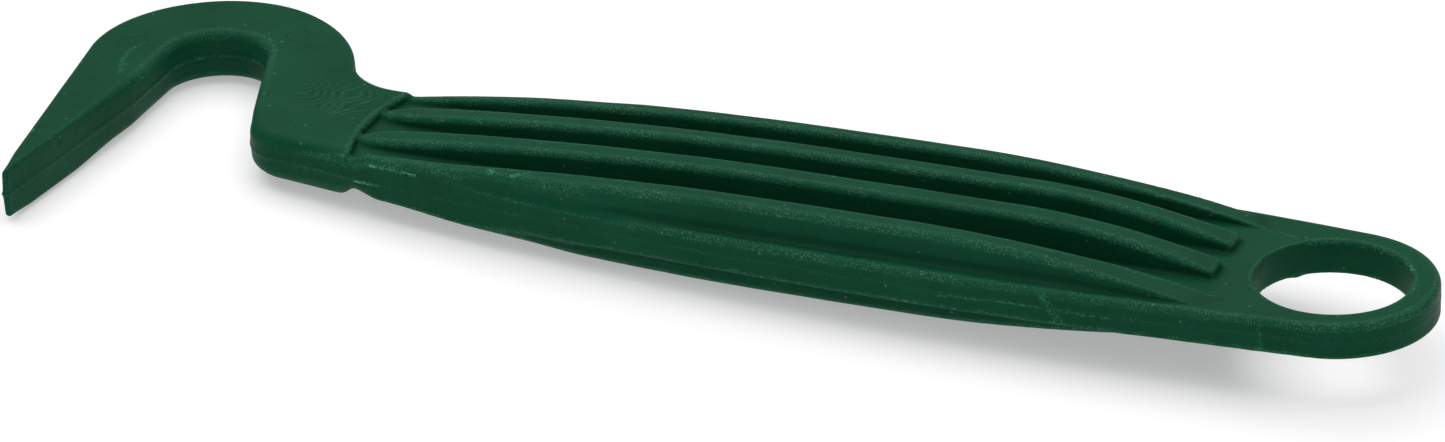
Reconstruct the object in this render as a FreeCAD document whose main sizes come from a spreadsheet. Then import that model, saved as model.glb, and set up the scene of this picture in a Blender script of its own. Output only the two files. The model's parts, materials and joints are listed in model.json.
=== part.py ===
import FreeCAD, Part

import math
import os
import re

import Sketcher

# Hoof pick moulded in one piece: a ribbed handle with a hanging eye at one end
# and a hooked blade at the other.  Millimetres.
# Frame: origin at the centre of the hanging eye, half-way through its thickness.
# -X runs along the handle to the neck, the blade points to -Y, +Z is up through
# the thickness.  The plane z = 0 is the mould's parting plane: every side wall
# leans away from it, and the ribs stand a little lower on the underside.

doc = FreeCAD.newDocument("hoof_pick")

# ---------------------------------------------------------------- dimensions
DIMENSIONS = [
    # hanging eye and the flat core plate of the handle
    ("eye_bore_radius", 8.5, "hole for a hook or a lanyard"),
    ("eye_outer_radius", 11.5, "rounded end around the hole"),
    ("plate_half_thickness", 2.0, "core plate, from the parting plane up"),
    ("side_radius", 520.0, "long arc of each side of the handle"),
    ("widest_at", 43.0, "from the eye to the widest place"),
    ("plate_neck_end", 114.0, "the plate runs into the neck as far as this"),
    # ribs, four on each face
    ("rib_inner_offset", 3.25, "centre line of an inner rib from the axis"),
    ("rib_inner_width", 3.7, "inner rib at the parting plane"),
    ("rib_outer_inside", 8.1, "inner side of an outer rib, at the parting plane"),
    ("rib_outer_outside", 11.35, "outer side of an outer rib, at the parting plane"),
    ("rib_rim_gap", 0.3, "outer rib to the handle's side near the neck"),
    ("rib_inner_end", 11.7, "from the eye to the nose of an inner rib"),
    ("rib_outer_end", 10.3, "from the eye to the end of an outer rib"),
    ("rib_neck_end", 118.0, "ribs run into the neck as far as this"),
    ("rib_draft", 4.0, "degrees, mould draft of the rib walls"),
    ("rib_edge_round", 0.6, "rounded long edges of the rib tops"),
    # crown: the smooth surface that the rib tops lie on
    ("upper_height", 6.3, "crown of the upper face on the axis, from the parting plane"),
    ("lower_height", 5.6, "crown of the underside on the axis, from the parting plane"),
    ("crown_cross_radius", 72.0, "radius across the handle"),
    ("crown_flat_from", 60.0, "straight stretch, end next to the neck"),
    ("upper_neck_radius", 440.0, "slow fall towards the neck, upper face"),
    ("lower_neck_radius", 355.0, "slow fall towards the neck, underside"),
    ("inner_flat_to", 36.0, "inner ribs, end of the straight stretch at the eye"),
    ("inner_eye_radius", 90.0, "inner ribs, quick fall towards the eye"),
    ("outer_flat_to", 47.0, "outer ribs, end of the straight stretch at the eye"),
    ("outer_eye_radius", 215.0, "outer ribs, fall towards the eye"),
    # neck and hook
    ("hook_half_thickness", 3.1, "neck and hook, from the parting plane up"),
    ("hook_draft", 2.5, "degrees, mould draft of the side walls"),
    ("neck_wall_at", 112.7, "from the eye to the ends of the step on the neck"),
    ("neck_wall_radius", 24.0, "bow of the step on the neck"),
    ("heel_centre_x", 139.3, "tight bow of the hook, next to the blade"),
    ("heel_centre_y", 10.4, "tight bow of the hook, next to the blade"),
    ("heel_radius", 15.2, "tight bow of the hook, next to the blade"),
    ("bow_radius", 21.8, "wide bow of the hook, next to the neck"),
    ("bow_centre_x", 142.2, "wide bow of the hook, next to the neck"),
    ("shoulder_fillet", 8.5, "hollow between the wide bow and the handle"),
    ("tip_back_x", 148.5, "tip, back corner"),
    ("tip_front_x", 147.6, "tip, front corner"),
    ("tip_reach", 24.8, "tip, from the axis"),
    ("blade_front_bend", 1.0, "bend in the front of the blade"),
    ("throat_centre_x", 139.1, "round of the throat"),
    ("throat_centre_y", 10.4, "round of the throat"),
    ("throat_radius", 6.0, "round of the throat"),
    ("throat_wall_angle", 70.6, "degrees, wall of the neck in the throat"),
    ("neck_fillet", 6.0, "throat wall to the near side of the handle"),
    ("throat_edge_round", 1.0, "rounded rim of the throat and neck"),
]

sheet = doc.addObject("Spreadsheet::Sheet", "dimensions")
VALUE = {}
for row, (alias, number, note) in enumerate(DIMENSIONS, start=1):
    sheet.set("A%d" % row, str(number))
    sheet.setAlias("A%d" % row, alias)
    sheet.set("B%d" % row, alias + ": " + note)
    VALUE[alias] = number
doc.recompute()

body = doc.addObject("PartDesign::Body", "hoof_pick")
body.Label = "hoof_pick"
body.Placement = FreeCAD.Placement()
DEGREE = math.pi / 180.0


# ------------------------------------------------------------------ helpers
def cell(expression):
    """The expression with each alias named as a cell of the sheet."""
    def qualify(match):
        word = match.group(0)
        return "dimensions." + word if word in VALUE else word

    return re.sub(r"[a-z_]+", qualify, expression)


def origin_plane(role):
    for feature in body.Origin.OriginFeatures:
        if feature.Role == role:
            return feature
    raise ValueError(role)


def new_sketch(name, role="XY_Plane"):
    sketch = body.newObject("Sketcher::SketchObject", name)
    sketch.AttachmentSupport = [(origin_plane(role), "")]
    sketch.MapMode = "FlatFace"
    return sketch


def add_line(sketch, start, end):
    a = FreeCAD.Vector(start[0], start[1], 0)
    b = FreeCAD.Vector(end[0], end[1], 0)
    return sketch.addGeometry(Part.LineSegment(a, b), False)


def add_arc(sketch, centre, radius, start_degrees, end_degrees):
    """A round stretch, anticlockwise from the first angle to the second."""
    middle = FreeCAD.Vector(centre[0], centre[1], 0)
    circle = Part.Circle(middle, FreeCAD.Vector(0, 0, 1), radius)
    arc = Part.ArcOfCircle(circle, start_degrees * DEGREE, end_degrees * DEGREE)
    return sketch.addGeometry(arc, False)


def constrain(sketch, kind, *numbers):
    return sketch.addConstraint(Sketcher.Constraint(kind, *numbers))


def drive(sketch, expression, kind, *numbers):
    """A dimension of the sketch that follows cells of the sheet."""
    index = constrain(sketch, kind, *numbers)
    sketch.setExpression("Constraints[%d]" % index, cell(expression))
    return index


def put_point(sketch, geometry, point, x_value, x_cells, y_value, y_cells):
    """Hold one point of the sketch at a driven place."""
    drive(sketch, x_cells, "DistanceX", -1, 1, geometry, point, x_value)
    drive(sketch, y_cells, "DistanceY", -1, 1, geometry, point, y_value)


def finish_sketch(sketch):
    state = sketch.solve()
    if state != 0:
        raise RuntimeError("%s isn't solved: %d" % (sketch.Name, state))
    doc.recompute()


START, END, CENTRE = 1, 2, 3

# Centre of each long side arc: the arc is tangent to the eye's rounded end.
SIDE_OFFSET = "sqrt( ( side_radius - eye_outer_radius ) ^ 2 - widest_at ^ 2 )"
side_offset = math.sqrt(
    (VALUE["side_radius"] - VALUE["eye_outer_radius"]) ** 2 - VALUE["widest_at"] ** 2
)


def side_point(along, far_side, inset=0.0):
    """A point of the handle's side, so far from the eye towards the hook."""
    radius = VALUE["side_radius"] - inset
    across = math.sqrt(radius ** 2 - (along - VALUE["widest_at"]) ** 2) - side_offset
    return (-along, across if far_side else -across)


def angle_about(centre, point):
    return math.degrees(math.atan2(point[1] - centre[1], point[0] - centre[0]))


def add_side_arc(sketch, from_along, to_along, far_side, inset=0.0):
    """A stretch of a long side.  Its START is nearer the eye on the far side."""
    centre = (-VALUE["widest_at"], -side_offset if far_side else side_offset)
    first = angle_about(centre, side_point(from_along, far_side, inset))
    last = angle_about(centre, side_point(to_along, far_side, inset))
    radius = VALUE["side_radius"] - inset
    return add_arc(sketch, centre, radius, first, last)


def hold_side_arc(sketch, arc, far_side, inset_cells=""):
    """Radius and centre of a long side."""
    across = ("-" if far_side else "") + SIDE_OFFSET
    drive(sketch, "side_radius" + inset_cells, "Radius", arc, VALUE["side_radius"])
    centre_y = -side_offset if far_side else side_offset
    put_point(sketch, arc, CENTRE, -VALUE["widest_at"], "-widest_at", centre_y, across)


# -------------------------------------------------------------------- sketches
def sketch_handle():
    """Outline of the core plate: the eye's end, two long sides, a cut neck."""
    sketch = new_sketch("handle_outline")
    radius = VALUE["eye_outer_radius"]
    neck = VALUE["plate_neck_end"]
    lean = math.degrees(math.atan2(VALUE["widest_at"], side_offset))
    far = add_side_arc(sketch, 0.0, neck, True)
    near = add_side_arc(sketch, neck, 0.0, False)
    end = add_arc(sketch, (0, 0), radius, lean - 90, 90 - lean)
    cut = add_line(sketch, side_point(neck, True), side_point(neck, False))
    constrain(sketch, "Coincident", end, CENTRE, -1, 1)
    drive(sketch, "eye_outer_radius", "Radius", end, radius)
    for side in (far, near):
        drive(sketch, "side_radius", "Radius", side, VALUE["side_radius"])
        drive(sketch, "-widest_at", "DistanceX", -1, 1, side, CENTRE, -VALUE["widest_at"])
    constrain(sketch, "Tangent", end, END, far, START)
    constrain(sketch, "Coincident", far, END, cut, START)
    constrain(sketch, "Coincident", cut, END, near, START)
    constrain(sketch, "Tangent", near, END, end, START)
    constrain(sketch, "Vertical", cut)
    drive(sketch, "plate_neck_end", "DistanceX", cut, START, -1, 1, neck)
    finish_sketch(sketch)
    return sketch


def sketch_ribs(name, add_rib):
    """Two ribs in plan, one on each side, as wide as at the parting plane."""
    sketch = new_sketch(name)
    for side in (1, -1):
        add_rib(sketch, side)
    finish_sketch(sketch)
    return sketch


def add_inner_rib(sketch, side):
    """Parallel walls with a round nose towards the eye."""
    neck = VALUE["rib_neck_end"]
    half = VALUE["rib_inner_width"] / 2
    middle = side * VALUE["rib_inner_offset"]
    nose_x = -VALUE["rib_inner_end"] - half
    nose = add_arc(sketch, (nose_x, middle), half, -90, 90)
    upper = add_line(sketch, (nose_x, middle + half), (-neck, middle + half))
    lower = add_line(sketch, (-neck, middle - half), (nose_x, middle - half))
    back = add_line(sketch, (-neck, middle + half), (-neck, middle - half))
    sign = "" if side > 0 else "-"
    drive(sketch, "rib_inner_width / 2", "Radius", nose, half)
    put_point(
        sketch, nose, CENTRE,
        nose_x, "-rib_inner_end - rib_inner_width / 2",
        middle, sign + "rib_inner_offset",
    )
    constrain(sketch, "Tangent", nose, END, upper, START)
    constrain(sketch, "Tangent", lower, END, nose, START)
    constrain(sketch, "Coincident", upper, END, back, START)
    constrain(sketch, "Coincident", back, END, lower, START)
    constrain(sketch, "Horizontal", upper)
    constrain(sketch, "Vertical", back)
    drive(sketch, "rib_neck_end", "DistanceX", back, START, -1, 1, neck)


def add_outer_rib(sketch, side):
    """Straight walls; near the neck the outer wall follows the handle's side."""
    far_side = side > 0
    inside = VALUE["rib_outer_inside"]
    outside = VALUE["rib_outer_outside"]
    gap = VALUE["rib_rim_gap"]
    end = VALUE["rib_outer_end"]
    radius = VALUE["side_radius"] - gap
    turn = VALUE["widest_at"] + math.sqrt(radius ** 2 - (outside + side_offset) ** 2)
    point = VALUE["widest_at"] + math.sqrt(radius ** 2 - (inside + side_offset) ** 2)
    near_end, neck_end = (START, END) if far_side else (END, START)
    if far_side:
        rim = add_side_arc(sketch, turn, point, True, gap)
    else:
        rim = add_side_arc(sketch, point, turn, False, gap)
    wall = add_line(sketch, (-turn, side * outside), (-end, side * outside))
    nose = add_line(sketch, (-end, side * outside), (-end, side * inside))
    inner = add_line(sketch, (-end, side * inside), (-point, side * inside))
    constrain(sketch, "Coincident", rim, near_end, wall, START)
    constrain(sketch, "Coincident", wall, END, nose, START)
    constrain(sketch, "Coincident", nose, END, inner, START)
    constrain(sketch, "Coincident", inner, END, rim, neck_end)
    constrain(sketch, "Horizontal", wall)
    constrain(sketch, "Horizontal", inner)
    constrain(sketch, "Vertical", nose)
    hold_side_arc(sketch, rim, far_side, " - rib_rim_gap")
    sign = "" if far_side else "-"
    put_point(
        sketch, nose, START,
        -end, "-rib_outer_end", side * outside, sign + "rib_outer_outside",
    )
    drive(sketch, sign + "rib_outer_inside", "DistanceY", -1, 1, inner, START, side * inside)


def sketch_crown(name, side, height, neck_radius, flat_to, eye_radius):
    """Lengthwise profile of everything beyond the rib tops, to be turned away."""
    sketch = new_sketch(name, "XZ_Plane")
    top = VALUE[height]
    flat_from = VALUE["crown_flat_from"]
    left, right, ceiling = -130.0, 0.0, 30.0
    neck_lean = math.asin((-left - flat_from) / VALUE[neck_radius]) / DEGREE
    eye_lean = math.asin((right + VALUE[flat_to]) / VALUE[eye_radius]) / DEGREE
    neck_centre = (-flat_from, side * (top - VALUE[neck_radius]))
    eye_centre = (-VALUE[flat_to], side * (top - VALUE[eye_radius]))
    if side > 0:
        neck_arc = add_arc(sketch, neck_centre, VALUE[neck_radius], 90, 90 + neck_lean)
        eye_arc = add_arc(sketch, eye_centre, VALUE[eye_radius], 90 - eye_lean, 90)
    else:
        neck_arc = add_arc(sketch, neck_centre, VALUE[neck_radius], 270 - neck_lean, 270)
        eye_arc = add_arc(sketch, eye_centre, VALUE[eye_radius], 270, 270 + eye_lean)
    first, last = (START, END) if side > 0 else (END, START)
    flat = add_line(sketch, (-flat_from, side * top), (-VALUE[flat_to], side * top))
    left_z = side * (top - VALUE[neck_radius] * (1 - math.cos(neck_lean * DEGREE)))
    right_z = side * (top - VALUE[eye_radius] * (1 - math.cos(eye_lean * DEGREE)))
    rise = add_line(sketch, (right, right_z), (right, side * ceiling))
    lid = add_line(sketch, (right, side * ceiling), (left, side * ceiling))
    drop = add_line(sketch, (left, side * ceiling), (left, left_z))
    constrain(sketch, "Tangent", neck_arc, first, flat, START)
    constrain(sketch, "Tangent", flat, END, eye_arc, last)
    constrain(sketch, "Coincident", eye_arc, first, rise, START)
    constrain(sketch, "Coincident", rise, END, lid, START)
    constrain(sketch, "Coincident", lid, END, drop, START)
    constrain(sketch, "Coincident", drop, END, neck_arc, last)
    constrain(sketch, "Horizontal", flat)
    constrain(sketch, "Horizontal", lid)
    constrain(sketch, "Vertical", rise)
    constrain(sketch, "Vertical", drop)
    sign = "" if side > 0 else "-"
    drive(sketch, neck_radius, "Radius", neck_arc, VALUE[neck_radius])
    drive(sketch, eye_radius, "Radius", eye_arc, VALUE[eye_radius])
    put_point(sketch, flat, START, -flat_from, "-crown_flat_from", side * top, sign + height)
    drive(sketch, "-" + flat_to, "DistanceX", -1, 1, flat, END, -VALUE[flat_to])
    constrain(sketch, "DistanceX", -1, 1, lid, START, right)
    constrain(sketch, "DistanceX", -1, 1, lid, END, left)
    constrain(sketch, "DistanceY", -1, 1, lid, START, side * ceiling)
    axis_z = side * (top - VALUE["crown_cross_radius"])
    ends = (FreeCAD.Vector(left, axis_z, 0), FreeCAD.Vector(right, axis_z, 0))
    axis = sketch.addGeometry(Part.LineSegment(*ends), True)
    axis_cells = "%s( %s - crown_cross_radius )" % (sign, height)
    constrain(sketch, "Horizontal", axis)
    drive(sketch, axis_cells, "DistanceY", -1, 1, axis, START, axis_z)
    finish_sketch(sketch)
    return sketch


def sketch_hook():
    """Outline of the neck, the hook's bow, the blade and the throat."""
    sketch = new_sketch("hook_outline")
    wall_at = VALUE["neck_wall_at"]
    far_wall = side_point(wall_at, True)
    heel_centre = (-VALUE["heel_centre_x"], VALUE["heel_centre_y"])
    throat_centre = (-VALUE["throat_centre_x"], VALUE["throat_centre_y"])
    tip_back = (-VALUE["tip_back_x"], -VALUE["tip_reach"])
    tip_front = (-VALUE["tip_front_x"], -VALUE["tip_reach"])
    front_x = -VALUE["throat_centre_x"] - VALUE["throat_radius"]
    front_bend = (front_x, VALUE["blade_front_bend"])
    shoulder_fillet = VALUE["shoulder_fillet"]

    # First positions: the constraints below make them exact.
    far_side = add_side_arc(sketch, wall_at, 113.4, True)
    hollow = add_arc(sketch, (-114.6, 17.1), shoulder_fillet, 205, 278)
    bow = add_arc(sketch, (-142.2, 4.6), VALUE["bow_radius"], 25, 63.5)
    heel = add_arc(sketch, heel_centre, VALUE["heel_radius"], 63.5, 189.5)
    back = add_line(sketch, (-154.2, 7.9), tip_back)
    tip = add_line(sketch, tip_back, tip_front)
    front_lower = add_line(sketch, tip_front, front_bend)
    front_upper = add_line(sketch, front_bend, (front_x, throat_centre[1]))
    throat = add_arc(sketch, throat_centre, VALUE["throat_radius"], 20, 180)
    wall = add_line(sketch, (-133.4, 12.4), (-129.0, -0.2))
    corner = add_arc(sketch, (-123.3, 1.8), VALUE["neck_fillet"], 199, 262)
    near_side = add_side_arc(sketch, 124.1, wall_at, False)
    reach = VALUE["neck_wall_radius"]
    step_centre = (-wall_at + math.sqrt(reach ** 2 - far_wall[1] ** 2), 0.0)
    step_angle = angle_about(step_centre, far_wall)
    step = add_arc(sketch, step_centre, reach, step_angle, 360 - step_angle)

    hold_side_arc(sketch, far_side, True)
    hold_side_arc(sketch, near_side, False)
    drive(sketch, "bow_radius", "Radius", bow, VALUE["bow_radius"])
    drive(sketch, "heel_radius", "Radius", heel, VALUE["heel_radius"])
    drive(sketch, "throat_radius", "Radius", throat, VALUE["throat_radius"])
    drive(sketch, "shoulder_fillet", "Radius", hollow, shoulder_fillet)
    drive(sketch, "neck_fillet", "Radius", corner, VALUE["neck_fillet"])
    drive(sketch, "neck_wall_radius", "Radius", step, reach)
    for geometry, point, place, x_cells, y_cells in (
        (heel, CENTRE, heel_centre, "-heel_centre_x", "heel_centre_y"),
        (throat, CENTRE, throat_centre, "-throat_centre_x", "throat_centre_y"),
        (tip, START, tip_back, "-tip_back_x", "-tip_reach"),
    ):
        put_point(sketch, geometry, point, place[0], x_cells, place[1], y_cells)
    drive(sketch, "-bow_centre_x", "DistanceX", -1, 1, bow, CENTRE, -VALUE["bow_centre_x"])
    drive(sketch, "-tip_front_x", "DistanceX", -1, 1, tip, END, tip_front[0])
    constrain(sketch, "Horizontal", tip)
    drive(sketch, "blade_front_bend", "DistanceY", -1, 1, front_upper, START, front_bend[1])
    constrain(sketch, "Vertical", front_upper)

    constrain(sketch, "Coincident", step, START, far_side, START)
    constrain(sketch, "Tangent", far_side, END, hollow, END)
    constrain(sketch, "Tangent", hollow, START, bow, START)
    constrain(sketch, "Tangent", bow, END, heel, START)
    constrain(sketch, "Tangent", heel, END, back, START)
    constrain(sketch, "Coincident", back, END, tip, START)
    constrain(sketch, "Coincident", tip, END, front_lower, START)
    constrain(sketch, "Coincident", front_lower, END, front_upper, START)
    constrain(sketch, "Tangent", front_upper, END, throat, END)
    constrain(sketch, "Tangent", throat, START, wall, START)
    constrain(sketch, "Tangent", wall, END, corner, START)
    constrain(sketch, "Tangent", corner, END, near_side, START)
    constrain(sketch, "Coincident", near_side, END, step, END)
    drive(sketch, "-neck_wall_at", "DistanceX", -1, 1, step, START, -wall_at)
    drive(sketch, "-neck_wall_at", "DistanceX", -1, 1, step, END, -wall_at)
    drive(sketch, "-throat_wall_angle * 1 deg", "Angle", wall, -VALUE["throat_wall_angle"] * DEGREE)
    finish_sketch(sketch)
    return sketch


# -------------------------------------------------------------------- features
def check_features():
    """Stop at any object that didn't compute."""
    for feature in doc.Objects:
        if "Invalid" in feature.State or "Error" in feature.State:
            raise RuntimeError("%s: %s" % (feature.Name, feature.State))


def add_pad(name, sketch, up_cells, down_cells, draft_cells=None):
    """Raise the outline both ways from the parting plane, with its draft."""
    pad = body.newObject("PartDesign::Pad", name)
    pad.Profile = sketch
    pad.SideType = "Two sides"
    pad.setExpression("Length", cell(up_cells))
    pad.setExpression("Length2", cell(down_cells))
    if draft_cells:
        pad.setExpression("TaperAngle", cell("-" + draft_cells))
        pad.setExpression("TaperAngle2", cell("-" + draft_cells))
    doc.recompute()
    return pad


def cut_crown(name, sketch):
    """Turn away everything beyond the rib tops, about an axis far behind them."""
    groove = body.newObject("PartDesign::Groove", name)
    groove.Profile = sketch
    groove.ReferenceAxis = (sketch, ["Axis0"])
    groove.Angle = 60.0
    groove.Midplane = True
    doc.recompute()
    return groove


def add_crowned_ribs(name, add_rib, flat_to, eye_radius):
    """A pair of ribs through both faces, with their tops cut to the crowns."""
    ribs = add_pad(
        name, sketch_ribs(name + "_plan", add_rib),
        "upper_height + 1", "lower_height + 1", "rib_draft",
    )
    last = ribs
    for side, face in ((1, "upper"), (-1, "lower")):
        crown = name + "_%s_crown" % face
        profile = sketch_crown(
            crown + "_profile", side, face + "_height", face + "_neck_radius",
            flat_to, eye_radius,
        )
        cut = cut_crown(crown, profile)
        if not cut.Shape.Volume < last.Shape.Volume:
            raise RuntimeError(crown + " cut nothing")
        last = cut
    return last


def bore_eye():
    sketch = new_sketch("eye_bore_circle")
    circle = Part.Circle(FreeCAD.Vector(), FreeCAD.Vector(0, 0, 1), VALUE["eye_bore_radius"])
    bore = sketch.addGeometry(circle, False)
    constrain(sketch, "Coincident", bore, CENTRE, -1, 1)
    drive(sketch, "eye_bore_radius", "Radius", bore, VALUE["eye_bore_radius"])
    finish_sketch(sketch)
    pocket = body.newObject("PartDesign::Pocket", "eye_bore")
    pocket.Profile = sketch
    pocket.Type = "ThroughAll"
    pocket.Midplane = True
    doc.recompute()
    return pocket


def round_edges(name, base, wanted, radius_cells):
    """Round every edge of the base that the test picks."""
    edges = []
    for number, edge in enumerate(base.Shape.Edges, start=1):
        if wanted(edge):
            edges.append("Edge%d" % number)
    fillet = body.newObject("PartDesign::Fillet", name)
    fillet.Base = (base, edges)
    fillet.setExpression("Radius", cell(radius_cells))
    doc.recompute()
    return fillet


def is_inner_crest(edge):
    """A long edge of an inner rib's top, on either face, or one around its nose."""
    box = edge.BoundBox
    inner = max(abs(box.YMin), abs(box.YMax)) < VALUE["rib_outer_inside"] - 1
    low = min(abs(box.ZMin), abs(box.ZMax))
    one_face = box.ZMin * box.ZMax > 0
    across = box.XLength < 0.01
    upright = box.ZLength > 0.95 * edge.Length
    return inner and one_face and low > 1.0 and not across and not upright


def is_throat_rim(edge):
    """Rim of the throat, of the wall beyond it or of the corner, on either face."""
    box = edge.BoundBox
    on_face = min(abs(box.ZMin), abs(box.ZMax)) > VALUE["hook_half_thickness"] - 0.01
    inside = box.XMin > -145.4 and box.XMax < -123.0 and box.YMax < 17.0
    return on_face and inside and box.YMin > -8.0 and box.XLength > 1.0


if "AllowCompound" in body.PropertiesList:
    body.AllowCompound = True
add_crowned_ribs("outer_ribs", add_outer_rib, "outer_flat_to", "outer_eye_radius")
ribs = add_crowned_ribs("inner_ribs", add_inner_rib, "inner_flat_to", "inner_eye_radius")
round_edges("rib_edges", ribs, is_inner_crest, "rib_edge_round")
add_pad("core_plate", sketch_handle(), "plate_half_thickness", "plate_half_thickness")
hook = add_pad(
    "neck_and_hook", sketch_hook(),
    "hook_half_thickness", "hook_half_thickness", "hook_draft",
)
rim = round_edges("throat_rim", hook, is_throat_rim, "throat_edge_round")
eye = bore_eye()
check_features()
if not eye.Shape.Volume < rim.Shape.Volume:
    raise RuntimeError("the eye isn't bored")
shape = body.Shape
if shape.isNull() or not shape.isValid() or len(shape.Solids) != 1:
    raise RuntimeError("the moulding isn't one valid solid")
print("%s: %.1f mm3" % (body.Label, shape.Volume), shape.optimalBoundingBox(False, False))
os.makedirs("parts", exist_ok=True)
shape.exportStep("parts/%s.step" % body.Label)
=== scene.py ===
import json
import math

import bpy
import numpy as np
from mathutils import Matrix, Vector

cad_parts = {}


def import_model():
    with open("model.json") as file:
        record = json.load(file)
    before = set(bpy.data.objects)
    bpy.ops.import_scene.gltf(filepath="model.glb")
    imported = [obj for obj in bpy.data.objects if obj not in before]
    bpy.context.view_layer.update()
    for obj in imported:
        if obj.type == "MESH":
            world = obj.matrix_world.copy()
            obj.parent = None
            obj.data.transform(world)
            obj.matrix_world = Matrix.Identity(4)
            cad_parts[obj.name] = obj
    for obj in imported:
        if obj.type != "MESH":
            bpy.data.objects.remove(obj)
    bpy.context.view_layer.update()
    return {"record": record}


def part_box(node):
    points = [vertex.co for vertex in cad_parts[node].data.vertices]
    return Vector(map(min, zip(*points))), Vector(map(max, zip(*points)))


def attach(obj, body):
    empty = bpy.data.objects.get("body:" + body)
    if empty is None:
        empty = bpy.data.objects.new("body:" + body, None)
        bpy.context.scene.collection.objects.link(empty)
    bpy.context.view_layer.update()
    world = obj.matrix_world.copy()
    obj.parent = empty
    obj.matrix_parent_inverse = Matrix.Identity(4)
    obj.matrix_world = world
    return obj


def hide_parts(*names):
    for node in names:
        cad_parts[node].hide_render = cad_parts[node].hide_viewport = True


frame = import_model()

# The hoof pick is one moulding.  Its detailed mesh is built here as a distance
# field in millimetres, in the frame of the CAD node, and replaces that node.
MM = 0.001
NODE = "hoof_pick"
low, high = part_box(NODE)
mounts = {mount["name"]: mount for mount in frame["record"]["mounts"]}

# ------------------------------------------------------------- main measures
CELL = 0.2          # cell of the distance field
MARGIN = 1.0                               # of the field round the piece
EYE_BORE = mounts["hanging_eye"]["dims"]["r_mm"]
EYE_OUTER = high.x / MM
PLATE = mounts["eye_face"]["pos_m"][2] / MM
NECK = mounts["neck_face"]["pos_m"][2] / MM
UPPER_CROWN = high.z / MM + 0.05
LOWER_CROWN = -low.z / MM + 0.05
TIP_REACH = -low.y / MM

SIDE_RADIUS = 520.0                        # long arcs of the handle's sides
WIDEST_AT = 43.0
SIDE_OFFSET = math.sqrt((SIDE_RADIUS - EYE_OUTER) ** 2 - WIDEST_AT ** 2)
LEAN = math.atan2(WIDEST_AT, SIDE_OFFSET)
PLATE_END = 116.0

# A measure kept under 1 and -1 is for the upper and for the lower face.  A pair
# named for where a form changes is the start and the end of that change, in x
# from the eye's centre or, with ACROSS, in y.
RIB_OFFSET = 3.25                          # inner ribs: centre lines and half width
RIB_HALF = 1.85
INNER_END = 11.7                           # their ends next to the eye
INNER_START = 115.2                        # and next to the neck
INNER_TAPER = 7.0                          # length over which the latter widen
NOSE_ROUND = 0.9
RIB_INSIDE, RIB_OUTSIDE = 8.1, 11.35       # outer ribs
INSIDE_WIDER, RIM_WIDER = 0.9, 1.3         # how much wider they grow by the neck
INSIDE_WIDENS, RIM_WIDENS = (98.0, 112.0), (88.0, 106.0)
RIB_GAP = 0.3
RIB_DRAFT = math.radians(4.0)
RIB_ROUND = 0.75                           # rounding of all the crests
INNER_ROUND_LESS, OUTER_ROUND_LESS = 0.35, 0.6  # and how much less by the eye
INNER_SHARPENS, OUTER_SHARPENS = (-17.0, -12.5), (-30.0, -16.0)
ROOT_FILLET = 0.5
LEDGE_FILLET, LEDGE_ACROSS = 0.9, (9.4, 10.4)
TAIL_FILLET = 0.15                         # foot of the outer ribs' ends by the eye
TAIL_STARTS, TAIL_ACROSS = (-26.0, -18.0), (7.0, 7.6)
CROSS_RADIUS = 72.0
NECK_FALL_FROM = 60.0
NECK_FALL = {1: 440.0, -1: 355.0}
INNER_FALL = (36.0, 90.0)                  # start and radius of the fall to the eye
OUTER_FALL = (45.0, 162.0)

STEP_CENTRE, STEP_RADIUS = -90.24, 24.0    # step between neck and grooves
STEP_ROUND = {1: 0.55, -1: 2.0}
STEP_FILLET = 0.45
EDGE_ROUND = {                             # on the handle, on the hook, where soft
    1: (0.75, 0.35, 1.15),
    -1: (0.25, 0.35, 1.25),
}
HOOK_EDGE_STARTS = (111.0, 115.0)
SOFT_STARTS, SOFT_ACROSS = (112.0, 115.0), (-12.0, -2.0)
CORNER_MORE = 0.75                         # more round at the near corner of the neck
CORNER_STARTS, CORNER_ENDS, CORNER_ACROSS = (109.0, 113.0), (-133.0, -129.0), (0.0, 3.0)
TIP_MORE, TIP_ACROSS = 0.35, (20.0, 23.5)  # and towards the blade's tip
BORE_ROUND, BROKEN_ROUND, LOW_BORE_ROUND = 0.45, 0.15, 0.15
BROKEN_STARTS, BROKEN_ACROSS = (5.0, 5.4), (-2.0, 1.0)

HOOK_FROM = 100.0                          # distances to the hook are taken past this
SIDES_FROM = 105.0                         # its outline starts here on the handle
CHAINS_FROM = 114.0                        # and has a clear inner and outer side here
HOOK_DRAFT = math.radians(2.5)
DRAFT_STARTS = (104.0, 118.0)
TIP_BACK, TIP_FRONT = -148.5, -147.6
HEEL = (-139.3, 10.4, 15.2)                # x, y, radius
BOW_X, BOW_RADIUS = -142.2, 21.8
HOLLOW_RADIUS = 8.5
THROAT = (-139.1, 10.4, 6.0)
FRONT_BEND = 1.0
WALL_ANGLE = math.radians(70.6)
NECK_CORNER = 6.0

EJECTORS = (                               # x, y, radius, step inside the ring
    (-148.3, -14.3, 1.5, 0.03),
    (-149.5, 10.9, 1.2, -0.01),
    (-132.0, 18.0, 1.5, 0.015),
)
EJECTOR_GROOVE, EJECTOR_DEPTH = 0.16, 0.07
FLOW_CENTRE = (-128.5, 7.0)                # flow wrinkles are bent rings about this
FLOW_PATCH, FLOW_FADES = (-120.5, 4.0), (-5.5, -2.0)  # and show round this
FLOW_DEPTH, FLOW_PER_MM = 0.045, 6.2
RAISED = (                                 # x, y, z, stretch in x, height, radius
    (-145.0, 1.0, 3.0, 1.0, 0.22, 0.5),    # burr on the throat's rim
    (-6.0, 6.1, -1.7, 1.3, 0.30, 0.6),     # gate stub in the bore
)
PARTING_HALF, PARTING_HEIGHT = 0.18, 0.045
PARTING_HIGHER = (104.0, 112.0)
SINKING = ((0.030, 6.0, 11), (0.010, 1.6, 12))  # height, length of the waves, seed
SMOOTHER = 0.7                             # how much less rough and painted edge highlight the hook's edges get
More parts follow.
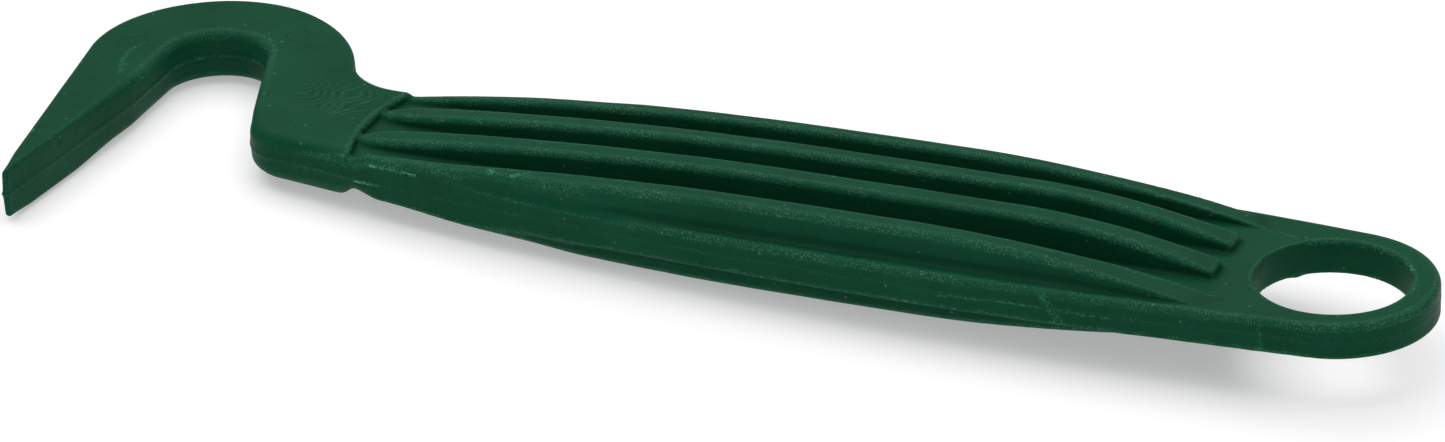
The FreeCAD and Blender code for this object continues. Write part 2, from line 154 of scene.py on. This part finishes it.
# Scuffs and nicks, and glossy streaks whose shine is painted on as a highlight:
MARKS = (                                  # chain of points, width, strength
    (((-147.4, 2.5, 3.1), (-148.7, 5.5, 3.1), (-149.1, 8.2, 3.1),
      (-148.5, 10.7, 3.1)), 0.35, 0.35),
    (((-149.7, -15.0, 3.1), (-149.9, -14.3, 3.1)), 0.3, 0.7),
    (((-40.4, -13.3, -0.4), (-33.2, -13.2, -0.1), (-20.8, -12.9, -0.2)), 0.14, 0.7),
    (((-28.6, -13.1, 1.4), (-27.3, -13.1, -0.4), (-25.9, -13.0, -2.4)), 0.6, 0.4),
    (((-94.7, -9.6, 4.4), (-94.5, -9.8, 4.3)), 0.7, 0.8),
    (((-91.9, -10.2, 4.4), (-89.8, -9.4, 4.8)), 0.35, 0.7),
    # painted highlight at the neck's near corner
    (((-120.5, -8.0, 3.0), (-116.5, -7.6, 2.9), (-112.8, -8.4, 2.6)), 0.4, 0.8),
    # two glossy streaks, painted as whitish highlights
    (((-110.2, -8.9, 2.2), (-104.0, -9.7, 2.3)), 0.22, 1.0),
    (((-112.2, -8.7, -0.2), (-109.0, -9.1, -0.1)), 0.20, 1.0),
    (((-93.4, -10.9, -3.0), (-93.2, -10.9, -3.0)), 0.5, 0.7),
    (((-4.5, -11.9, 1.3), (-4.5, -11.9, -1.7)), 0.35, 0.25),
    (((7.0, 4.9, 2.0), (7.6, 4.3, 1.9)), 0.4, 0.8),
    (((-8.5, 8.2, 2.0), (-6.4, 7.4, 2.0)), 0.3, 0.3),
)


# --------------------------------------------------------- rounded operations
def ramp(value, start, end):
    """Smooth 0 to 1 as the value goes from start to end."""
    t = np.clip((value - start) / (end - start), 0.0, 1.0)
    return t * t * (3.0 - 2.0 * t)


def both(a, b, radius):
    """Inside both, with the outer edge rounded."""
    u = np.maximum(a + radius, 0.0)
    v = np.maximum(b + radius, 0.0)
    return np.minimum(np.maximum(a, b), -radius) + np.sqrt(u * u + v * v)


def either(a, b, radius):
    """Inside one of them, with the inner corner filled."""
    u = np.maximum(radius - a, 0.0)
    v = np.maximum(radius - b, 0.0)
    return np.maximum(np.minimum(a, b), radius) - np.sqrt(u * u + v * v)


# ------------------------------------------------------------- plan outlines
def arc(centre_x, centre_y, radius, start, end):
    """Points along an arc, in degrees, clockwise where the end is smaller."""
    count = max(3, int(abs(math.radians(end - start)) * radius / 0.3))
    angles = np.radians(np.linspace(start, end, count))
    x = centre_x + radius * np.cos(angles)
    y = centre_y + radius * np.sin(angles)
    return np.stack([x, y], 1)


def crossing(ax, ay, ar, bx, by, br):
    """The point at distance ar from a and br from b, on the left going from a to b."""
    dx, dy = bx - ax, by - ay
    gap = math.hypot(dx, dy)
    along = (ar * ar - br * br + gap * gap) / (2 * gap)
    across = math.sqrt(ar * ar - along * along)
    return (
        ax + (along * dx - across * dy) / gap,
        ay + (along * dy + across * dx) / gap,
    )


def degrees(cx, cy, px, py):
    """Heading of p seen from c."""
    return math.degrees(math.atan2(py - cy, px - cx))


def hook_outline():
    """The outer chain and the inner chain of the hook, each from the handle."""
    far_x, far_y = -WIDEST_AT, -SIDE_OFFSET
    near_y = SIDE_OFFSET
    heel_x, heel_y, heel_r = HEEL
    drop = math.sqrt((BOW_RADIUS - heel_r) ** 2 - (BOW_X - heel_x) ** 2)
    bow_y = heel_y - drop
    # the hollow's circle touches the bow's from outside, and the handle's far side
    hollow_x, hollow_y = crossing(
        BOW_X, bow_y, BOW_RADIUS + HOLLOW_RADIUS,
        far_x, far_y, SIDE_RADIUS + HOLLOW_RADIUS,
    )
    side_end = degrees(far_x, far_y, hollow_x, hollow_y)
    sweep = math.degrees(math.asin((SIDES_FROM - WIDEST_AT) / SIDE_RADIUS))
    touch = degrees(BOW_X, bow_y, hollow_x, hollow_y)
    meet = degrees(BOW_X, bow_y, heel_x, heel_y)
    # the back of the blade touches the heel's circle and ends at the tip
    away = math.hypot(TIP_BACK - heel_x, -TIP_REACH - heel_y)
    turn = math.degrees(math.acos(heel_r / away))
    back = degrees(heel_x, heel_y, TIP_BACK, -TIP_REACH) % 360 - turn
    outer = [
        arc(far_x, far_y, SIDE_RADIUS, 90 + sweep, side_end),
        arc(hollow_x, hollow_y, HOLLOW_RADIUS, side_end + 180, touch + 180),
        arc(BOW_X, bow_y, BOW_RADIUS, touch, meet),
        arc(heel_x, heel_y, heel_r, meet, back),
        np.array([[TIP_BACK, -TIP_REACH]]),
    ]
    throat_x, throat_y, throat_r = THROAT
    normal = math.pi / 2 - WALL_ANGLE
    wall_top = (
        throat_x + throat_r * math.cos(normal),
        throat_y + throat_r * math.sin(normal),
    )
    # the corner's centre lies inside the neck, off the wall and off the side
    nx, ny = math.cos(normal), math.sin(normal)
    side_r = SIDE_RADIUS - NECK_CORNER
    base = nx * wall_top[0] + ny * wall_top[1] + NECK_CORNER
    px, py = base * nx, base * ny
    qx, qy = px - far_x, py - near_y
    half = qx * ny - qy * nx
    root = math.sqrt(half * half - (qx * qx + qy * qy - side_r * side_r))
    reach = -half + root
    corner = (px + reach * ny, py - reach * nx)
    side = degrees(far_x, near_y, *corner) % 360
    inner = [
        np.array([[TIP_FRONT, -TIP_REACH], [throat_x - throat_r, FRONT_BEND]]),
        arc(throat_x, throat_y, throat_r, 180, math.degrees(normal)),
        arc(corner[0], corner[1], NECK_CORNER, 180 + math.degrees(normal), side),
        arc(far_x, near_y, SIDE_RADIUS, side, 270 - sweep),
    ]
    return np.concatenate(outer), np.concatenate(inner)


def distance_to(points, x, y):
    """Distance of each place of the plan from a chain of short runs."""
    best = np.full(x.shape, 1e6, np.float32)
    for a, b in zip(points[:-1], points[1:]):
        run = b - a
        length = float(run @ run)
        if length < 1e-9:
            continue
        t = np.clip(((x - a[0]) * run[0] + (y - a[1]) * run[1]) / length, 0.0, 1.0)
        dx = x - a[0] - t * run[0]
        dy = y - a[1] - t * run[1]
        np.minimum(best, dx * dx + dy * dy, out=best)
    return np.sqrt(best)


def inside_of(points, x, y):
    """True where a place of the plan is inside the closed outline."""
    inside = np.zeros(x.shape, bool)
    for a, b in zip(points, np.roll(points, -1, axis=0)):
        if a[1] == b[1]:
            continue
        spans = (a[1] > y) != (b[1] > y)
        cut = a[0] + (y - a[1]) * (b[0] - a[0]) / (b[1] - a[1])
        inside ^= spans & (x < cut)
    return inside


# ---------------------------------------------------------------- the moulding
def crown(x, y, side, fall):
    """Height of the rib tops above the parting plane."""
    top = UPPER_CROWN if side > 0 else LOWER_CROWN
    radius = NECK_FALL[side]
    start, eye_radius = fall
    to_neck = np.minimum(np.maximum(-NECK_FALL_FROM - x, 0.0), radius * 0.9)
    to_eye = np.minimum(np.maximum(x + start, 0.0), eye_radius * 0.9)
    line = top - radius + np.sqrt(radius ** 2 - to_neck ** 2)
    line = line - eye_radius + np.sqrt(eye_radius ** 2 - to_eye ** 2)
    across = CROSS_RADIUS + line - top
    return top - CROSS_RADIUS + np.sqrt(across ** 2 - y ** 2)


def waves(x, y, z, scale, seed):
    """Gentle seeded unevenness, about -1 to 1."""
    random = np.random.RandomState(seed)
    total = 0.0
    for _ in range(9):
        direction = random.normal(size=3)
        direction /= np.linalg.norm(direction) * scale * random.uniform(0.7, 1.5)
        phase = random.uniform(0, 2 * math.pi)
        total = total + np.sin(x * direction[0] + y * direction[1] + z * direction[2] + phase)
    return total / 3.0


def marks_of_moulding(x, y, z):
    """Shallow marks: ejector pins, flow wrinkles, a burr, a gate stub."""
    on_top = ramp(z, 1.2, 1.8)
    depth = 0.0
    for pin_x, pin_y, radius, step in EJECTORS:
        off = np.hypot(x - pin_x, y - pin_y)
        groove = np.exp(-((off - radius) / EJECTOR_GROOVE) ** 2)
        inside = ramp(radius - off, 0.0, 0.25)
        depth = depth + on_top * (EJECTOR_DEPTH * groove + step * inside)
    rings = np.hypot(x - FLOW_CENTRE[0], y - FLOW_CENTRE[1])
    rings = rings + 0.45 * np.sin(0.9 * x + 0.6 * y) + 0.3 * np.sin(1.9 * y - 0.7 * x)
    from_patch = np.hypot((x - FLOW_PATCH[0]) / 1.3, y - FLOW_PATCH[1])
    patch = ramp(-from_patch, *FLOW_FADES) * ramp(z, 2.5, 2.9)
    depth = depth + FLOW_DEPTH * np.sin(rings * FLOW_PER_MM) * patch
    for at_x, at_y, at_z, stretch, height, radius in RAISED:
        off = np.sqrt(((x - at_x) / stretch) ** 2 + (y - at_y) ** 2 + (z - at_z) ** 2)
        depth = depth - height * np.exp(-(off / radius) ** 2)
    return depth


def plan_of_pick(x, y):
    """Distances in the plan: from the whole outline, from the handle's sides,
    and from the outer and the inner chain of the hook."""
    across = np.abs(y)
    to_side = np.hypot(x + WIDEST_AT, across + SIDE_OFFSET) - SIDE_RADIUS
    to_end = np.hypot(x, y) - EYE_OUTER
    beyond = x * math.cos(LEAN) - across * math.sin(LEAN) > 0
    handle = np.where(beyond, to_end, to_side)
    handle = np.maximum(handle, -PLATE_END - x)

    outer, inner = hook_outline()
    outline = np.concatenate([outer, inner])
    part = x[:, 0] < -HOOK_FROM
    hook, to_outer, to_inner = (np.full(x.shape, 1e3, np.float32) for _ in range(3))
    to_outer[part] = distance_to(outer, x[part], y[part])
    to_inner[part] = distance_to(inner, x[part], y[part])
    to_tip = distance_to(np.array([outer[-1], inner[0]]), x[part], y[part])
    to_root = distance_to(np.array([inner[-1], outer[0]]), x[part], y[part])
    to_chains = np.minimum(to_outer[part], to_inner[part])
    hook[part] = np.minimum(to_chains, np.minimum(to_tip, to_root))
    hook[part] *= np.where(inside_of(outline, x[part], y[part]), -1.0, 1.0)
    return np.minimum(handle, hook), to_side, to_outer, to_inner


def edge_rounding(x, y, to_outer, to_inner):
    """How round the outline's edge is on each face.  The throat and the near
    side of the neck are soft."""
    by_chain = ramp(to_outer - to_inner, -0.6, 0.6)
    near_inner = np.where(x < -CHAINS_FROM, by_chain, y < 0)
    soft = near_inner * ramp(y, *SOFT_ACROSS) * ramp(-x, *SOFT_STARTS)
    corner = near_inner * ramp(-y, *CORNER_ACROSS)
    corner = corner * ramp(-x, *CORNER_STARTS) * ramp(x, *CORNER_ENDS)
    soft = np.maximum(soft, corner)
    on_hook = ramp(-x, *HOOK_EDGE_STARTS)
    near_tip = ramp(-y, *TIP_ACROSS) * on_hook
    rounding = {}
    for side, (handle_round, hook_round, soft_round) in EDGE_ROUND.items():
        edge = handle_round + (hook_round - handle_round) * on_hook
        edge = edge + (soft_round - edge) * soft + CORNER_MORE * corner
        rounding[side] = edge + TIP_MORE * near_tip
    return rounding


def face_of_pick(x, y, z, side, to_side):
    """One face: the plate with its ribs and grooves, and the raised neck."""
    across = np.abs(y)
    level = side * z
    lean = math.tan(RIB_DRAFT) * np.abs(z)

    rib_top = level - crown(x, y, side, INNER_FALL)[:, :, None]
    off = np.abs(across - RIB_OFFSET) - RIB_HALF
    nose = both(off, x + INNER_END, NOSE_ROUND)
    narrowing = np.maximum(-INNER_START + INNER_TAPER - x, 0.0) * RIB_HALF / INNER_TAPER
    nose = np.maximum(nose, np.hypot(narrowing, off + RIB_HALF) - RIB_HALF)
    crest = RIB_ROUND - INNER_ROUND_LESS * ramp(x, *INNER_SHARPENS)
    ribs = both(nose[:, :, None] + lean, rib_top, crest[:, :, None])

    outer_top = level - crown(x, y, side, OUTER_FALL)[:, :, None]
    rim = to_side + RIB_GAP - RIM_WIDER * ramp(-x, *RIM_WIDENS)
    inside = RIB_INSIDE - INSIDE_WIDER * ramp(-x, *INSIDE_WIDENS)
    rail = np.maximum(np.maximum(inside - across, across - RIB_OUTSIDE), rim)
    crest = RIB_ROUND - OUTER_ROUND_LESS * ramp(x, *OUTER_SHARPENS)
    rails = both(rail[:, :, None] + lean, outer_top, crest[:, :, None])

    root = ROOT_FILLET + (LEDGE_FILLET - ROOT_FILLET) * ramp(across, *LEDGE_ACROSS)
    tail = ramp(x, *TAIL_STARTS) * ramp(across, *TAIL_ACROSS)
    root = root + (TAIL_FILLET - root) * tail
    top = either(level - PLATE, np.minimum(ribs, rails), root[:, :, None])

    # the step counts only by the neck, not where its circle closes near the eye
    step = STEP_RADIUS - np.hypot(x - STEP_CENTRE, y)
    step = np.where(x < -HOOK_FROM, step, 50.0)[:, :, None]
    neck = both(step, level - NECK, STEP_ROUND[side])
    return either(top, neck, STEP_FILLET)


def field_of_pick(xs, ys, zs):
    """Distance field of the whole pick, in millimetres."""
    x, y = np.broadcast_arrays(xs[:, None].astype(np.float32), ys[None, :].astype(np.float32))
    z = zs[None, None, :].astype(np.float32)
    x3, y3 = x[:, :, None], y[:, :, None]
    plan, to_side, to_outer, to_inner = plan_of_pick(x, y)
    rounding = edge_rounding(x, y, to_outer, to_inner)
    draft = np.tan(HOOK_DRAFT) * ramp(-x, *DRAFT_STARTS)
    wall = plan[:, :, None] + np.abs(z) * draft[:, :, None]
    half = {
        side: both(wall, face_of_pick(x, y, z, side, to_side), rounding[side][:, :, None])
        for side in (1, -1)
    }
    field = np.where(z >= 0, half[1], half[-1])

    # the bore's upper rim is broken off square on one stretch
    bore = EYE_BORE - np.hypot(x, y)[:, :, None]
    broken = ramp(-x, *BROKEN_STARTS) * ramp(y, *BROKEN_ACROSS)
    rim_round = BORE_ROUND - (BORE_ROUND - BROKEN_ROUND) * broken[:, :, None]
    field = both(field, bore, np.where(z > 0, rim_round, LOW_BORE_ROUND))

    # the parting line's ridge runs round the outline at mid-height, higher on the hook
    ridge = np.exp(-(z / PARTING_HALF) ** 2) * ramp(wall, -1.0, -0.2)
    ridge_height = PARTING_HEIGHT * (1.0 + ramp(-x3, *PARTING_HIGHER))
    field = field - ridge * ridge_height + marks_of_moulding(x3, y3, z)
    for height, length, seed in SINKING:
        field = field + height * waves(x3, y3, z, length, seed)
    return field


def surface(field, origin, cell):
    """Surface nets: one vertex in each cell that the surface crosses."""
    inside = field < 0
    nx, ny, nz = field.shape
    count = np.zeros((nx - 1, ny - 1, nz - 1), np.uint8)
    corners = [(i, j, k) for i in (0, 1) for j in (0, 1) for k in (0, 1)]
    for i, j, k in corners:
        count += inside[i:nx - 1 + i, j:ny - 1 + j, k:nz - 1 + k]
    active = np.nonzero((count > 0) & (count < 8))
    index = np.full(count.shape, -1, np.int32)
    index[active] = np.arange(len(active[0]), dtype=np.int32)
    value = {c: field[active[0] + c[0], active[1] + c[1], active[2] + c[2]] for c in corners}
    total = np.zeros((len(active[0]), 3))
    hits = np.zeros(len(active[0]))
    for axis in range(3):
        for c in corners:
            if c[axis]:
                continue
            d = tuple(1 if n == axis else c[n] for n in range(3))
            a, b = value[c], value[d]
            cut = (a < 0) != (b < 0)
            t = np.where(cut, a / np.where(cut, a - b, 1.0), 0.0)
            for n in range(3):
                total[:, n] += np.where(cut, c[n] + (t if n == axis else 0.0), 0.0)
            hits += cut
    points = np.stack(active, 1) + total / hits[:, None]
    quads = []
    for axis in range(3):
        a = [slice(1, -1)] * 3
        a[axis] = slice(0, -1)
        b = list(a)
        b[axis] = slice(1, None)
        change = inside[tuple(a)] != inside[tuple(b)]
        where = [n + (0 if m == axis else 1) for m, n in enumerate(np.nonzero(change))]
        one, two = [m for m in range(3) if m != axis]
        ring = []
        for d1, d2 in ((-1, -1), (0, -1), (0, 0), (-1, 0)):
            place = list(where)
            place[one] = place[one] + d1
            place[two] = place[two] + d2
            ring.append(index[tuple(place)])
        ring = np.stack(ring, 1)
        outward = inside[tuple(where)]
        if axis == 1:
            outward = ~outward
        ring[~outward] = ring[~outward][:, ::-1]
        quads.append(ring)
    return origin + points * cell, np.concatenate(quads)


def settle(points, field, origin, cell):
    """Moves the vertices onto the surface along the field's slope."""
    least_slope, longest_move = 0.2, 0.4 * cell
    for _ in range(2):
        place = (points - origin) / cell
        base = np.clip(np.floor(place).astype(int), 0, np.array(field.shape) - 2)
        t = place - base
        v = {}
        for i in (0, 1):
            for j in (0, 1):
                for k in (0, 1):
                    v[i, j, k] = field[base[:, 0] + i, base[:, 1] + j, base[:, 2] + k]
        tx, ty, tz = t.T
        wx, wy, wz = (1 - tx, tx), (1 - ty, ty), (1 - tz, tz)
        here = sum(v[i, j, k] * wx[i] * wy[j] * wz[k] for i, j, k in v)
        sign = (-1, 1)
        gx = sum(v[i, j, k] * sign[i] * wy[j] * wz[k] for i, j, k in v)
        gy = sum(v[i, j, k] * wx[i] * sign[j] * wz[k] for i, j, k in v)
        gz = sum(v[i, j, k] * wx[i] * wy[j] * sign[k] for i, j, k in v)
        slope = np.stack([gx, gy, gz], 1) / cell
        size = np.maximum((slope ** 2).sum(1), least_slope)
        move = -(here / size)[:, None] * slope
        length = np.linalg.norm(move, axis=1, keepdims=True)
        points = points + move * np.minimum(1.0, longest_move / np.maximum(length, 1e-9))
    return points


def near_line(points, chain, width):
    """1 on a chain of points, fading to 0 at the width."""
    best = np.full(len(points), 1e9)
    chain = np.array(chain, float)
    for a, b in zip(chain[:-1], chain[1:]):
        run = b - a
        t = np.clip(((points - a) @ run) / (run @ run), 0.0, 1.0)
        best = np.minimum(best, ((points - a - t[:, None] * run) ** 2).sum(1))
    return 1.0 - ramp(np.sqrt(best), 0.4 * width, width)


def paint_masks(points, field, origin, cell):
    """Where the surface is an outer edge (painted lighter as a highlight), where it is hollow
    (painted darker as shade), and where it is marked (scuffs and painted glints).
    """
    reach = 2                              # cells on each side that the bend is taken over
    place = np.rint((points - origin) / cell).astype(int)
    i, j, k = np.clip(place, reach, np.array(field.shape) - reach - 1).T
    around = 0.0
    for n in (-reach, reach):
        around = around + field[i + n, j, k] + field[i, j + n, k] + field[i, j, k + n]
    bend = (around - 6.0 * field[i, j, k]) / (reach * cell) ** 2
    # the hook's edges are less rough and get less painted edge highlight than the rest,
    # except round the throat
    x, y = points[:, 0], points[:, 1]
    from_throat = np.hypot(x - THROAT[0], y - THROAT[1])
    smooth_edge = ramp(-x, 118.0, 122.0) * ramp(from_throat, 8.5, 11.0)
    # edge: the outer edges, which get the painted edge highlight and the flecks
    edge = ramp(bend, 0.25, 1.1) * (1.0 - SMOOTHER * smooth_edge)
    # hollow: inner corners and grooves, painted darker as shade
    hollow_shade = ramp(-bend, 0.15, 0.9)
    mark = np.zeros(len(points))
    for chain, width, strength in MARKS:
        mark = np.maximum(mark, strength * near_line(points, chain, width))
    return {"edge": edge, "hollow_shade": hollow_shade, "mark": mark}


def build_pick():
    """The moulding as a mesh, with its paint masks as attributes."""
    start = np.array([low.x, low.y, low.z]) / MM - MARGIN
    end = np.array([high.x, high.y, high.z]) / MM + MARGIN
    axes = [np.arange(start[n], end[n] + CELL, CELL) for n in range(3)]
    field = field_of_pick(*axes)
    points, quads = surface(field, start, CELL)
    points = settle(points, field, start, CELL)
    mesh = bpy.data.meshes.new("hoof_pick_moulding")
    mesh.from_pydata([], [], [])
    mesh.vertices.add(len(points))
    mesh.vertices.foreach_set("co", (points * MM).astype(np.float32).ravel())
    mesh.loops.add(len(quads) * 4)
    mesh.loops.foreach_set("vertex_index", quads.astype(np.int32).ravel())
    mesh.polygons.add(len(quads))
    mesh.polygons.foreach_set("loop_start", np.arange(0, len(quads) * 4, 4, dtype=np.int32))
    mesh.polygons.foreach_set("use_smooth", np.ones(len(quads), bool))
    for name, values in paint_masks(points, field, start, CELL).items():
        layer = mesh.attributes.new(name, "FLOAT", "POINT")
        layer.data.foreach_set("value", values.astype(np.float32))
    mesh.update(calc_edges=True)
    mesh.validate()
    pick = bpy.data.objects.new("hoof_pick_moulding", mesh)
    bpy.context.scene.collection.objects.link(pick)
    return pick


# -------------------------------------------------------------------- material
class Nodes:
    """Short calls for building a node tree."""

    def __init__(self, material):
        material.use_nodes = True
        self.tree = material.node_tree
        self.tree.nodes.clear()

    def add(self, kind, inputs=None, **settings):
        node = self.tree.nodes.new("ShaderNode" + kind)
        for name, value in settings.items():
            setattr(node, name, value)
        for name, value in (inputs or {}).items():
            if isinstance(value, bpy.types.NodeSocket):
                self.tree.links.new(value, node.inputs[name])
            else:
                node.inputs[name].default_value = value
        return node

    def math(self, operation, a, b=0.0):
        node = self.add("Math", {0: a, 1: b}, operation=operation)
        return node.outputs[0]

    def ramp(self, value, start, end, low_value=0.0, high_value=1.0):
        node = self.add("MapRange", {
            "Value": value, "From Min": start, "From Max": end,
            "To Min": low_value, "To Max": high_value,
        })
        return node.outputs[0]

    def noise(self, place, scale, detail=3.0, roughness=0.5):
        node = self.add("TexNoise", {
            "Vector": place, "Scale": scale, "Detail": detail, "Roughness": roughness,
        })
        return node.outputs[0]

    def blend(self, amount, a, b):
        node = self.add("Mix", {0: amount, 6: a, 7: b}, data_type="RGBA")
        return node.outputs[2]


def plastic():
    """Satin moulded plastic: cloudy green, grained, with speckled rough edges; the edges,
    flecks and glossy marks are painted lighter as highlights, the hollows darker as shade.
    """
    material = bpy.data.materials.new("satin_green_plastic")
    n = Nodes(material)
    place = n.add("TexCoord").outputs["Object"]
    # the edge mask carries the painted highlight, the hollow mask the painted shade, the mark
    # mask the scuffs and painted glints
    edge, hollow_shade, mark = (
        n.add("Attribute", attribute_name=name).outputs["Fac"]
        for name in ("edge", "hollow_shade", "mark")
    )
    cloudy = n.noise(place, 110.0, 3.0)
    patchy = n.noise(place, 330.0, 2.0)
    grain = n.noise(place, 1500.0, 2.0, 0.55)
    fine = n.noise(place, 3600.0, 2.0, 0.6)
    flecks = n.ramp(n.noise(place, 5600.0, 2.0, 0.5), 0.50, 0.64)
    dots = n.add("TexVoronoi", {"Vector": place, "Scale": 420.0}).outputs["Distance"]
    dust = n.ramp(dots, 0.075, 0.045)
    # speckle: flecks on the outer edges, more in some stretches than in others; a real rough
    # grain, also painted lighter as glints
    rough_glinting_edge = n.math("MULTIPLY", edge, n.ramp(patchy, 0.40, 0.56, 0.35, 1.0))
    speckle_glint = n.math("MULTIPLY", flecks, rough_glinting_edge)
    # the marks: real scuffs, and glossy streaks whose shine is painted; the strongest as
    # whitish painted glints
    scuffs_and_glints = n.math("MULTIPLY", mark, n.ramp(fine, 0.46, 0.60))
    glint_streak = n.math("MULTIPLY", n.ramp(mark, 0.85, 1.0), n.ramp(fine, 0.38, 0.50))
    deep = (0.0020, 0.0500, 0.0210, 1.0)
    bright = (0.0030, 0.0620, 0.0275, 1.0)
    colour = n.blend(n.ramp(cloudy, 0.35, 0.65), deep, bright)
    for mask, share, paint in (
        (n.ramp(fine, 0.40, 0.66), 0.16, (0.0150, 0.1100, 0.0620, 1.0)),
        # painted highlight: the outer edges lighter
        (edge, 0.40, (0.0080, 0.0880, 0.0450, 1.0)),
        # painted glints: the flecks on the edges in pale green
        (speckle_glint, 0.62, (0.0800, 0.2200, 0.1400, 1.0)),
        # scuffs, and painted highlights on the glossy marks, in bright green
        (scuffs_and_glints, 0.65, (0.0600, 0.4000, 0.2200, 1.0)),
        # painted highlight: the glossiest streaks nearly white
        (glint_streak, 0.60, (0.4200, 0.5200, 0.4700, 1.0)),
        (dust, 0.30, (0.2000, 0.3200, 0.2400, 1.0)),
        # painted shade: the hollows, grooves and inner corners darker
        (hollow_shade, 0.50, (0.0014, 0.0300, 0.0120, 1.0)),
    ):
        colour = n.blend(n.math("MULTIPLY", mask, share), colour, paint)
    polish = n.math("MULTIPLY", speckle_glint, -0.20)
    roughness = n.math("ADD", n.ramp(patchy, 0.3, 0.7, 0.40, 0.52), polish)
    height = n.math("ADD", n.math("MULTIPLY", grain, 0.9), n.math("MULTIPLY", fine, 0.3))
    height = n.math("ADD", height, n.math("MULTIPLY", speckle_glint, 0.8))
    bump = n.add("Bump", {"Height": height, "Strength": 0.60, "Distance": 0.00008})
    shader = n.add("BsdfPrincipled", {
        "Base Color": colour,
        "Roughness": roughness,
        "Normal": bump.outputs[0],
        "IOR": 1.49,
        "Specular IOR Level": 0.05,
    })
    output = n.add("OutputMaterial")
    n.tree.links.new(shader.outputs[0], output.inputs[0])
    return material


pick = build_pick()
pick.data.materials.append(plastic())
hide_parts(NODE)
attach(pick, "root")


# ------------------------------------------------------------ floor and lights
def floor():
    """The pick lies on the hook's flat face and on the crests of its lower ribs."""
    reach = 3.0                            # metres from the middle to each side
    gap = 0.0003                           # keeps the floor clear of the uneven faces
    hook_x, hook_z = low.x, -NECK * MM
    crest_x = -0.070                       # where the lower crests touch
    slope = (low.z - hook_z) / (crest_x - hook_x)
    mesh = bpy.data.meshes.new("floor")
    corners = [
        (x, y, hook_z + slope * (x - hook_x) - gap)
        for x, y in ((-reach, -reach), (reach, -reach), (reach, reach), (-reach, reach))
    ]
    mesh.from_pydata(corners, [], [(0, 1, 2, 3)])
    plane = bpy.data.objects.new("floor", mesh)
    bpy.context.scene.collection.objects.link(plane)
    material = bpy.data.materials.new("white_table")
    n = Nodes(material)
    shader = n.add("BsdfPrincipled", {
        "Base Color": (0.66, 0.66, 0.66, 1.0), "Roughness": 0.9, "Specular IOR Level": 0.1,
        "Emission Color": (1.0, 1.0, 1.0, 1.0), "Emission Strength": 0.38,
    })
    output = n.add("OutputMaterial")
    n.tree.links.new(shader.outputs[0], output.inputs[0])
    mesh.materials.append(material)


def area_light(name, place, target, width, depth, power):
    """A soft rectangular light that looks at the target; metres and watts."""
    data = bpy.data.lights.new(name, "AREA")
    data.shape = "RECTANGLE"
    data.size, data.size_y = width, depth
    data.energy = power
    light = bpy.data.objects.new(name, data)
    bpy.context.scene.collection.objects.link(light)
    place, target = Vector(place), Vector(target)
    light.location = place
    light.rotation_euler = (place - target).to_track_quat("Z", "Y").to_euler()


def world():
    """Even white light from all round."""
    shell = bpy.data.worlds.new("studio")
    shell.use_nodes = True
    background = shell.node_tree.nodes["Background"]
    background.inputs[0].default_value = (1.0, 1.0, 1.0, 1.0)
    background.inputs[1].default_value = 0.30
    bpy.context.scene.world = shell


floor()
world()
middle = ((low + high) / 2)[:]
area_light("key", (-0.25, 0.25, 0.80), middle, 1.4, 1.1, 8.5)
area_light("fill", (0.10, -0.35, 0.90), middle, 1.1, 0.7, 1.9)
bpy.context.scene.view_settings.view_transform = "Standard"


# ---------------------------------------------------------------------- camera
def add_camera():
    """The photo's view: from the near side and above, a little from the eye's end."""
    azimuth, elevation, roll = (math.radians(a) for a in (23.241, 26.776, -2.119))
    eye = Vector((0.165195, -0.549900, 0.299213))
    sensor = 36.0
    focal_to_width = 6000.0 / 1445.0       # a long lens: focal length over frame width
    back = Vector((
        math.sin(azimuth) * math.cos(elevation),
        -math.cos(azimuth) * math.cos(elevation),
        math.sin(elevation),
    ))
    right = Vector((math.cos(azimuth), math.sin(azimuth), 0.0))
    up = back.cross(right)
    across = math.cos(roll) * right + math.sin(roll) * up
    upward = math.cos(roll) * up - math.sin(roll) * right
    data = bpy.data.cameras.new("camera")
    data.sensor_fit = "HORIZONTAL"
    data.sensor_width = sensor
    data.lens = sensor * focal_to_width
    data.clip_start, data.clip_end = 0.01, 20.0
    camera = bpy.data.objects.new("camera", data)
    bpy.context.scene.collection.objects.link(camera)
    camera.matrix_world = Matrix((
        (across.x, upward.x, back.x, eye.x),
        (across.y, upward.y, back.y, eye.y),
        (across.z, upward.z, back.z, eye.z),
        (0.0, 0.0, 0.0, 1.0),
    ))
    bpy.context.scene.camera = camera


add_camera()
